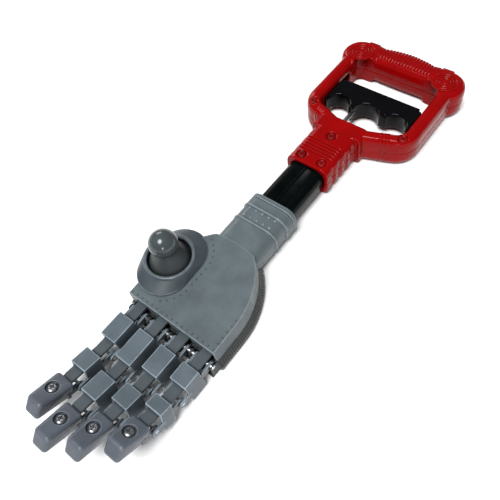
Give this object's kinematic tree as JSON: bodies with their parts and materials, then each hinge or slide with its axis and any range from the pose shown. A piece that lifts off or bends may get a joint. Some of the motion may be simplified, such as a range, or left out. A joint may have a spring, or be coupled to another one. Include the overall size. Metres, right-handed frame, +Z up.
{
  "type": "hand-operated reaching grabber toy",
  "caption": "Reaching toy arm: framed grip with pull trigger, oval tube and a hand whose fingers curl together against a fixed thumb",
  "frame": {"origin": "centre of the bounding box in plan, on the surface it lies on", "axes": "+Z up out of the palm, +Y from the fingertips to the grip, +X away from the thumb"},
  "size_m": [0.1114, 0.4138, 0.0577],
  "materials": {
    "grip_plastic": "glossy moulded, red",
    "trigger_plastic": "glossy moulded, near black",
    "tube_plastic": "glossy extruded, black",
    "hand_plastic": "satin moulded, blue grey",
    "back_plastic": "satin moulded, dark grey",
    "socket_plastic": "satin moulded, dark blue grey",
    "finger_plastic": "satin moulded, blue grey",
    "tip_plastic": "satin moulded, dark grey",
    "strap_plastic": "flexible satin strip, grey",
    "rivet_dark": "moulded studs, grey",
    "cone_plastic": "satin moulded, dark grey",
    "ball_plastic": "glossy moulded, grey",
    "rod_steel": "drawn wire, bright",
    "screw_steel": "plated, slightly worn",
    "dark_screw": "plated, tinted by the grip around it"
  },
  "bodies": {
    "arm": {"handle_upper": "grip_plastic", "handle_lower": "grip_plastic", "handle_screws": "dark_screw", "ear_caps": "grip_plastic", "rod_bush": "tube_plastic", "return_spring": "rod_steel", "tube_plug": "tube_plastic", "arm_tube": "tube_plastic", "wrist_upper": "hand_plastic", "wrist_lower": "hand_plastic", "collar_rivets": "hand_plastic", "palm_shell": "hand_plastic", "hand_back_shell": "back_plastic", "palm_rivets": "rivet_dark", "thumb_socket": "socket_plastic", "thumb_cone": "cone_plastic", "thumb_ball": "ball_plastic", "knuckle_axle": "rod_steel"},
    "pull": {"trigger": "trigger_plastic", "pull_rod": "rod_steel", "rod_collar": "rod_steel", "tendon_yoke": "tube_plastic", "palm_straps": "strap_plastic"},
    "index_a": {"index_first": "finger_plastic", "index_strap_first": "strap_plastic", "index_middle_pin": "rod_steel"},
    "index_b": {"index_middle": "finger_plastic", "index_strap_middle": "strap_plastic", "index_tip_pin": "rod_steel"},
    "index_c": {"index_tip": "tip_plastic", "index_strap_tip": "strap_plastic", "index_tip_screw": "screw_steel"},
    "long_a": {"long_first": "finger_plastic", "long_strap_first": "strap_plastic", "long_middle_pin": "rod_steel"},
    "long_b": {"long_middle": "finger_plastic", "long_strap_middle": "strap_plastic", "long_tip_pin": "rod_steel"},
    "long_c": {"long_tip": "tip_plastic", "long_strap_tip": "strap_plastic", "long_tip_screw": "screw_steel"},
    "ring_a": {"ring_first": "finger_plastic", "ring_strap_first": "strap_plastic", "ring_middle_pin": "rod_steel"},
    "ring_b": {"ring_middle": "finger_plastic", "ring_strap_middle": "strap_plastic", "ring_tip_pin": "rod_steel"},
    "ring_c": {"ring_tip": "tip_plastic", "ring_strap_tip": "strap_plastic", "ring_tip_screw": "screw_steel"},
    "little_a": {"little_first": "finger_plastic", "little_strap_first": "strap_plastic", "little_middle_pin": "rod_steel"},
    "little_b": {"little_middle": "finger_plastic", "little_strap_middle": "strap_plastic", "little_tip_pin": "rod_steel"},
    "little_c": {"little_tip": "tip_plastic", "little_strap_tip": "strap_plastic", "little_tip_screw": "screw_steel"}
  },
  "joints": [
    {"name": "trigger_slide", "type": "slide", "parent": "arm", "child": "pull", "axis": [0, 1, 0], "range_m": [0, 0.014], "stiffness_N_per_m": 60, "springref_m": -0.002, "deforming": ["return_spring"]},
    {"name": "index_knuckle", "type": "hinge", "parent": "arm", "child": "index_a", "pos_m": [-0.034, -0.10632, 0.0122], "axis": [-1, 0, 0], "range_deg": [0, 55]},
    {"name": "index_middle", "type": "hinge", "parent": "index_a", "child": "index_b", "pos_m": [-0.034, -0.13962, 0.009], "axis": [-1, 0, 0], "range_deg": [0, 45]},
    {"name": "index_tip", "type": "hinge", "parent": "index_b", "child": "index_c", "pos_m": [-0.034, -0.16618, 0.01465], "axis": [-1, 0, 0], "range_deg": [0, 45]},
    {"name": "long_knuckle", "type": "hinge", "parent": "arm", "child": "long_a", "pos_m": [-0.0144, -0.10632, 0.0122], "axis": [-1, 0, 0], "range_deg": [0, 55]},
    {"name": "long_middle", "type": "hinge", "parent": "long_a", "child": "long_b", "pos_m": [-0.0144, -0.14492, 0.009], "axis": [-1, 0, 0], "range_deg": [0, 45]},
    {"name": "long_tip", "type": "hinge", "parent": "long_b", "child": "long_c", "pos_m": [-0.0144, -0.17568, 0.01554], "axis": [-1, 0, 0], "range_deg": [0, 45]},
    {"name": "ring_knuckle", "type": "hinge", "parent": "arm", "child": "ring_a", "pos_m": [0.0052, -0.10632, 0.0122], "axis": [-1, 0, 0], "range_deg": [0, 55]},
    {"name": "ring_middle", "type": "hinge", "parent": "ring_a", "child": "ring_b", "pos_m": [0.0052, -0.14042, 0.009], "axis": [-1, 0, 0], "range_deg": [0, 45]},
    {"name": "ring_tip", "type": "hinge", "parent": "ring_b", "child": "ring_c", "pos_m": [0.0052, -0.16737, 0.01473], "axis": [-1, 0, 0], "range_deg": [0, 45]},
    {"name": "little_knuckle", "type": "hinge", "parent": "arm", "child": "little_a", "pos_m": [0.0248, -0.10632, 0.0122], "axis": [-1, 0, 0], "range_deg": [0, 55]},
    {"name": "little_middle", "type": "hinge", "parent": "little_a", "child": "little_b", "pos_m": [0.0248, -0.13502, 0.009], "axis": [-1, 0, 0], "range_deg": [0, 45]},
    {"name": "little_tip", "type": "hinge", "parent": "little_b", "child": "little_c", "pos_m": [0.0248, -0.15758, 0.01463], "axis": [-1, 0, 0], "range_deg": [0, 45]}
  ],
  "couplings": [
    {"joint": "index_knuckle", "follows": "trigger_slide", "rad_per_m": 67.32},
    {"joint": "index_middle", "follows": "trigger_slide", "rad_per_m": 54.853},
    {"joint": "index_tip", "follows": "trigger_slide", "rad_per_m": 54.853},
    {"joint": "long_knuckle", "follows": "trigger_slide", "rad_per_m": 67.32},
    {"joint": "long_middle", "follows": "trigger_slide", "rad_per_m": 54.853},
    {"joint": "long_tip", "follows": "trigger_slide", "rad_per_m": 54.853},
    {"joint": "ring_knuckle", "follows": "trigger_slide", "rad_per_m": 67.32},
    {"joint": "ring_middle", "follows": "trigger_slide", "rad_per_m": 54.853},
    {"joint": "ring_tip", "follows": "trigger_slide", "rad_per_m": 54.853},
    {"joint": "little_knuckle", "follows": "trigger_slide", "rad_per_m": 67.32},
    {"joint": "little_middle", "follows": "trigger_slide", "rad_per_m": 54.853},
    {"joint": "little_tip", "follows": "trigger_slide", "rad_per_m": 54.853}
  ]
}
